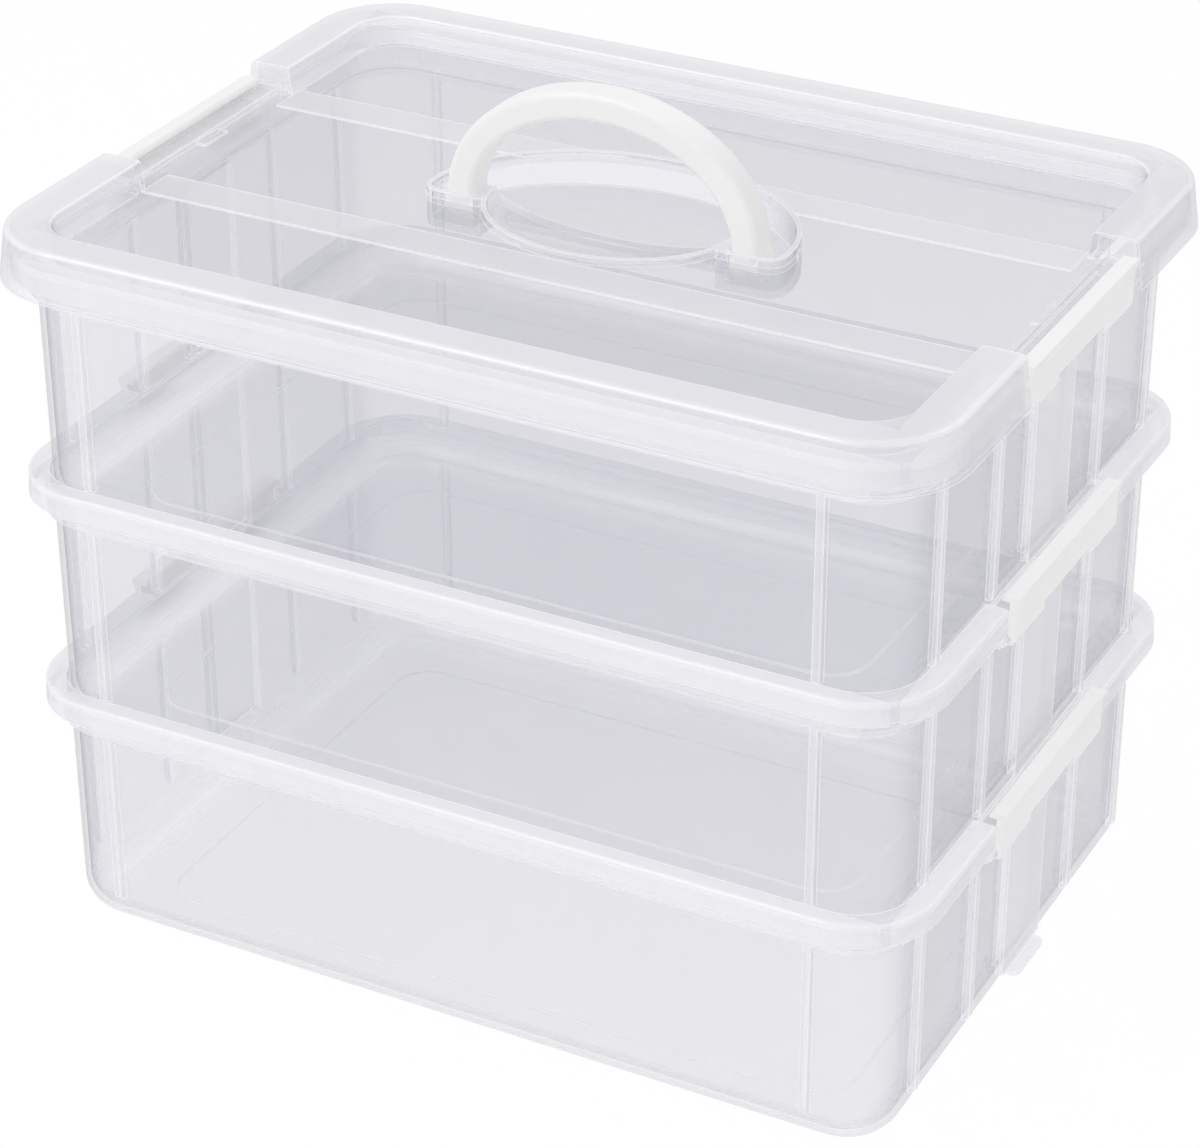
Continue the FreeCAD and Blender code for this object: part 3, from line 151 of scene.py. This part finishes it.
def lid_milk_and_top_light(tree, place):
    """Whiten the lid's channel rim, the two cross bands and the lip of the handle well; the extra white on the
    rim's flat top is partly painted light from above.
    """
    split = add_node(tree, "ShaderNodeSeparateXYZ", {"Vector": place})
    height = split.outputs["Z"]
    across = add_node(tree, "ShaderNodeMath", {"operation": "ABSOLUTE", 0: split.outputs["Y"]})
    band = add_node(tree, "ShaderNodeMath",
                    {"operation": "COMPARE", 0: across.outputs[0], 1: BAND_MIDDLE, 2: BAND_HALF})
    raised = add_node(tree, "ShaderNodeMath",
                      {"operation": "COMPARE", 0: height, 1: BAND_LEVEL, 2: BAND_DEPTH})
    top_face = add_node(tree, "ShaderNodeMath",
                        {"operation": "MULTIPLY", 0: band.outputs[0], 1: raised.outputs[0]})
    bands = add_node(tree, "ShaderNodeMath",
                     {"operation": "MULTIPLY", 0: top_face.outputs[0], 1: BAND_MILK})
    lip = add_node(tree, "ShaderNodeMath",
                   {"operation": "MULTIPLY", 0: above(tree, height, WELL_LIP, 1.0),
                    1: boxed(tree, place, WELL_HALF, SOFT_EDGE, WELL_LIP_MILK, 0.0)})
    return [boxed(tree, place, LID_HALF, SOFT_EDGE, 0.0, LID_RIM_MILK),
            above(tree, height, LID_TOP, LID_TOP_MILK_AND_LIGHT), bands.outputs[0], lip.outputs[0]]


def clear_polypropylene(name, milk_and_light_places, foot, haze, cloud, roughness):
    """Let light through by the clear share; the rest is milky white, partly painted highlight. The outer skin
    mirrors by the view's angle.
    """
    material, tree = new_material(name)
    here = add_node(tree, "ShaderNodeTexCoord").outputs["Object"]
    place = add_node(tree, "ShaderNodeMapping", {"Vector": here, "Location": (0.0, 0.0, -foot)})
    # Flow marks of the melt are clouds about 62 mm long. Sink marks about 36 mm apart bend the mirror image.
    flow = add_node(tree, "ShaderNodeTexNoise",
                    {"Vector": here, "Scale": per_metre(62.5), "Detail": 2.0, "Roughness": 0.55})
    sink = add_node(tree, "ShaderNodeTexNoise", {"Vector": here, "Scale": per_metre(35.7), "Detail": 1.0})
    wavy = add_node(tree, "ShaderNodeBump",
                    {"Height": sink.outputs[0], "Strength": 0.15, "Distance": 0.0012})
    # A clear plastic mirrors 5% of the light straight on and far more along the surface. Only the outer skin of
    # each wall does so, because a mirror image inside the plastic would darken it.
    facing = add_node(tree, "ShaderNodeLayerWeight", {"Blend": 0.5}).outputs["Facing"]
    grazing = add_node(tree, "ShaderNodeMath", {"operation": "POWER", 0: facing, 1: 5.0})
    mirror = add_node(tree, "ShaderNodeMath",
                      {"operation": "MULTIPLY_ADD", 0: grazing.outputs[0], 1: 0.80, 2: 0.05})
    skin_side = add_node(tree, "ShaderNodeNewGeometry")
    mirror_share = add_node(tree, "ShaderNodeMapRange", {"Value": skin_side.outputs["Backfacing"],
                                                         "To Min": mirror.outputs[0], "To Max": 0.0})
    # The milk: a little everywhere, more at the given places and on walls seen sideways; on edges and rounds
    # the white is painted highlight
    milk_and_painted_light = add_node(tree, "ShaderNodeMapRange", {"Value": flow.outputs[0], "From Min": 0.3, "From Max": 0.7,
                                                 "To Min": haze - cloud, "To Max": haze + cloud}).outputs[0]
    # Painted highlights along sharp edges and on the rounds, in the milk's white
    edges = [painted_edge_highlight(tree, EDGE_HIGHLIGHT), painted_round_highlight(tree, ROUND_HIGHLIGHT)]
    for part in milk_and_light_places(tree, place.outputs[0]) + edges:
        milk_and_painted_light = add_node(tree, "ShaderNodeMath", {"operation": "ADD", 0: milk_and_painted_light, 1: part}).outputs[0]
    sideways = add_node(tree, "ShaderNodeMath", {"operation": "POWER", 0: facing, 1: 3.0}).outputs[0]
    thick_milk_and_painted_light = add_node(tree, "ShaderNodeMath",
                     {"operation": "MULTIPLY_ADD", 0: sideways, 1: SIDEWAYS_MILK, 2: milk_and_painted_light})
    milk_and_painted_light_share = add_node(tree, "ShaderNodeMath",
                          {"operation": "MINIMUM", 0: thick_milk_and_painted_light.outputs[0], 1: MOST_MILK})
    tint = add_node(tree, "ShaderNodeMix",
                    {"data_type": "RGBA", 0: sideways, 6: linear("FCFCFD"), 7: linear("C6C6CD")})
    through = add_node(tree, "ShaderNodeBsdfTransparent", {"Color": tint.outputs[2]})
    milk_and_painted_light_skin = add_node(tree, "ShaderNodeBsdfDiffuse", {"Color": linear("FDFDFF")})
    milk_and_painted_light_glow = add_node(tree, "ShaderNodeBsdfTranslucent", {"Color": linear("FDFDFF")})
    milky_and_painted_light = add_node(tree, "ShaderNodeMixShader",
                     {0: GLOW_SHARE, 1: milk_and_painted_light_skin.outputs[0], 2: milk_and_painted_light_glow.outputs[0]})
    gloss = add_node(tree, "ShaderNodeBsdfGlossy", {"Roughness": roughness, "Normal": wavy.outputs[0]})
    wall = add_node(tree, "ShaderNodeMixShader",
                    {0: milk_and_painted_light_share.outputs[0], 1: through.outputs[0], 2: milky_and_painted_light.outputs[0]})
    skin = add_node(tree, "ShaderNodeMixShader",
                    {0: mirror_share.outputs[0], 1: wall.outputs[0], 2: gloss.outputs[0]})
    # Lamps and scattered light pass with a small loss, so that the inside stays as bright as in a real box
    path = add_node(tree, "ShaderNodeLightPath")
    scattered = add_node(tree, "ShaderNodeMath", {"operation": "MAXIMUM", 0: path.outputs["Is Shadow Ray"],
                                                  1: path.outputs["Is Diffuse Ray"]})
    passing = add_node(tree, "ShaderNodeBsdfTransparent", {"Color": linear("FEFEFE")})
    whole = add_node(tree, "ShaderNodeMixShader",
                     {0: scattered.outputs[0], 1: skin.outputs[0], 2: passing.outputs[0]})
    add_node(tree, "ShaderNodeOutputMaterial", {"Surface": whole.outputs[0]})
    return material


# White polypropylene, moulded in a spark-eroded mould: opaque, with a satin sheen and a fine pitted grain


def white_polypropylene():
    """Give a soft white body colour with slight clouds, a satin sheen and a fine pitted grain."""
    material, tree = new_material("white_satin_polypropylene")
    here = add_node(tree, "ShaderNodeTexCoord").outputs["Object"]
    # Slight clouds about 29 mm long
    flow = add_node(tree, "ShaderNodeTexNoise", {"Vector": here, "Scale": per_metre(28.6), "Detail": 2.0})
    body_colour = add_node(tree, "ShaderNodeMix", {"data_type": "RGBA", 0: flow.outputs[0],
                                                   6: linear("E7E7E5"), 7: linear("EDEDEC")})
    # The grain has about 0.8 mm between pits, coarser than the real 0.2 mm, so that it shows
    pits = add_node(tree, "ShaderNodeTexNoise", {"Vector": here, "Scale": per_metre(0.83), "Detail": 2.0})
    rough = add_node(tree, "ShaderNodeMapRange", {"Value": pits.outputs[0], "To Min": 0.30, "To Max": 0.42})
    bump = add_node(tree, "ShaderNodeBump",
                    {"Height": pits.outputs[0], "Strength": 0.10, "Distance": 0.0002})
    body = add_node(tree, "ShaderNodeBsdfPrincipled",
                    {"Base Color": body_colour.outputs[2], "IOR": 1.49, "Roughness": rough.outputs[0],
                     "Normal": bump.outputs[0]})
    add_node(tree, "ShaderNodeOutputMaterial", {"Surface": body.outputs[0]})
    return material


white_plastic = white_polypropylene()
for step, level in enumerate(("bottom", "middle", "top")):
    clear_plastic = clear_polypropylene("clear_polypropylene_" + level, tray_milk_and_top_light, step * TRAY_STEP,
                                        haze=0.030, cloud=0.012, roughness=0.09)
    dress(nodes[level + "_tray"], clear_plastic)
    for side in ("left", "right"):
        dress(nodes[level + "_latch_" + side], white_plastic)
dress(nodes["lid"], clear_polypropylene("clear_polypropylene_lid", lid_milk_and_top_light, 0.0,
                                        haze=0.034, cloud=0.014, roughness=0.11))
dress(nodes["handle"], white_plastic)


# Stage: white paper under the object, even light all round, three soft lamps and the camera


def white_paper():
    """White matt paper that keeps the shadow: most of it glows for camera, mirror and see-through rays."""
    material, tree = new_material("white_backdrop_paper")
    here = add_node(tree, "ShaderNodeTexCoord").outputs["Object"]
    # Clouds of fibre about 25 mm long
    fibre = add_node(tree, "ShaderNodeTexNoise", {"Vector": here, "Scale": per_metre(25.0), "Detail": 3.0})
    colour = add_node(tree, "ShaderNodeMix",
                      {"data_type": "RGBA", 0: fibre.outputs[0], 6: linear("F9F9F9"), 7: linear("FDFDFD")})
    paper = add_node(tree, "ShaderNodeBsdfDiffuse", {"Color": colour.outputs[2]})
    glow = add_node(tree, "ShaderNodeEmission", {"Color": linear("FFFFFF"), "Strength": 1.0})
    path = add_node(tree, "ShaderNodeLightPath")
    seen = add_node(tree, "ShaderNodeMath", {"operation": "MAXIMUM", 0: path.outputs["Is Camera Ray"],
                                             1: path.outputs["Is Glossy Ray"]})
    seen_through = add_node(tree, "ShaderNodeMath", {"operation": "MAXIMUM", 0: seen.outputs[0],
                                                     1: path.outputs["Is Transmission Ray"]})
    share = add_node(tree, "ShaderNodeMath", {"operation": "MULTIPLY", 0: seen_through.outputs[0], 1: 0.82})
    mixed = add_node(tree, "ShaderNodeMixShader",
                     {0: share.outputs[0], 1: paper.outputs[0], 2: glow.outputs[0]})
    add_node(tree, "ShaderNodeOutputMaterial", {"Surface": mixed.outputs[0]})
    return material


def make_floor(half, drop):
    """Lay one wide square, a hair under the object so that their faces don't coincide."""
    corners = [(-half, -half, -drop), (half, -half, -drop), (half, half, -drop), (-half, half, -drop)]
    mesh = bpy.data.meshes.new("floor")
    mesh.from_pydata(corners, [], [(0, 1, 2, 3)])
    floor = bpy.data.objects.new("floor", mesh)
    bpy.context.scene.collection.objects.link(floor)
    dress(floor, white_paper())


def make_world():
    """Light evenly all round, and show white behind the object."""
    world = bpy.data.worlds.new("studio")
    bpy.context.scene.world = world
    world.use_nodes = True
    tree = world.node_tree
    tree.nodes.clear()
    lit = add_node(tree, "ShaderNodeBackground", {"Color": linear("F8F8FA"), "Strength": 0.86})
    shown = add_node(tree, "ShaderNodeBackground", {"Color": linear("FFFFFF"), "Strength": 1.0})
    path = add_node(tree, "ShaderNodeLightPath")
    seen = add_node(tree, "ShaderNodeMath", {"operation": "MAXIMUM", 0: path.outputs["Is Camera Ray"],
                                             1: path.outputs["Is Transmission Ray"]})
    mixed = add_node(tree, "ShaderNodeMixShader",
                     {0: seen.outputs[0], 1: lit.outputs[0], 2: shown.outputs[0]})
    add_node(tree, "ShaderNodeOutputWorld", {"Surface": mixed.outputs[0]})


def add_lamp(name, place, target, width, height, power):
    """Hang one soft rectangular lamp that faces a point; sizes in metres, power in watts."""
    lamp = bpy.data.lights.new(name, "AREA")
    lamp.shape = "RECTANGLE"
    lamp.size = width
    lamp.size_y = height
    lamp.energy = power
    holder = bpy.data.objects.new(name, lamp)
    holder.location = place
    holder.rotation_euler = (Vector(target) - Vector(place)).to_track_quat("-Z", "Y").to_euler()
    bpy.context.scene.collection.objects.link(holder)


def make_camera(place, target):
    """Stand where the photograph was taken, with the long lens that fits its frame."""
    lens = bpy.data.cameras.new("camera")
    lens.sensor_width = 36.0
    lens.lens = 113.1
    lens.shift_x = -0.006
    lens.clip_start = 0.05
    lens.clip_end = 50.0
    camera = bpy.data.objects.new("camera", lens)
    camera.location = place
    camera.rotation_euler = (Vector(target) - Vector(place)).to_track_quat("-Z", "Y").to_euler()
    bpy.context.scene.collection.objects.link(camera)
    bpy.context.scene.camera = camera


middle_of_box = (0.0, 0.0, 0.15)
make_floor(half=6.0, drop=0.0005)
make_world()
add_lamp("key_lamp", (-0.9, -1.1, 1.9), middle_of_box, width=1.4, height=1.0, power=14.0)
add_lamp("fill_lamp", (1.6, -0.6, 1.1), middle_of_box, width=1.0, height=1.2, power=2.0)
add_lamp("rear_lamp", (0.2, 1.5, 1.7), (0.0, 0.0, 0.20), width=1.6, height=0.8, power=4.0)
make_camera((0.5552, -1.0632, 0.8037), (0.0, 0.0, 0.1276))
bpy.context.scene.view_settings.view_transform = "Standard"
# A line of sight through three trays and the lid crosses many skins
bpy.context.scene.cycles.transparent_max_bounces = 48
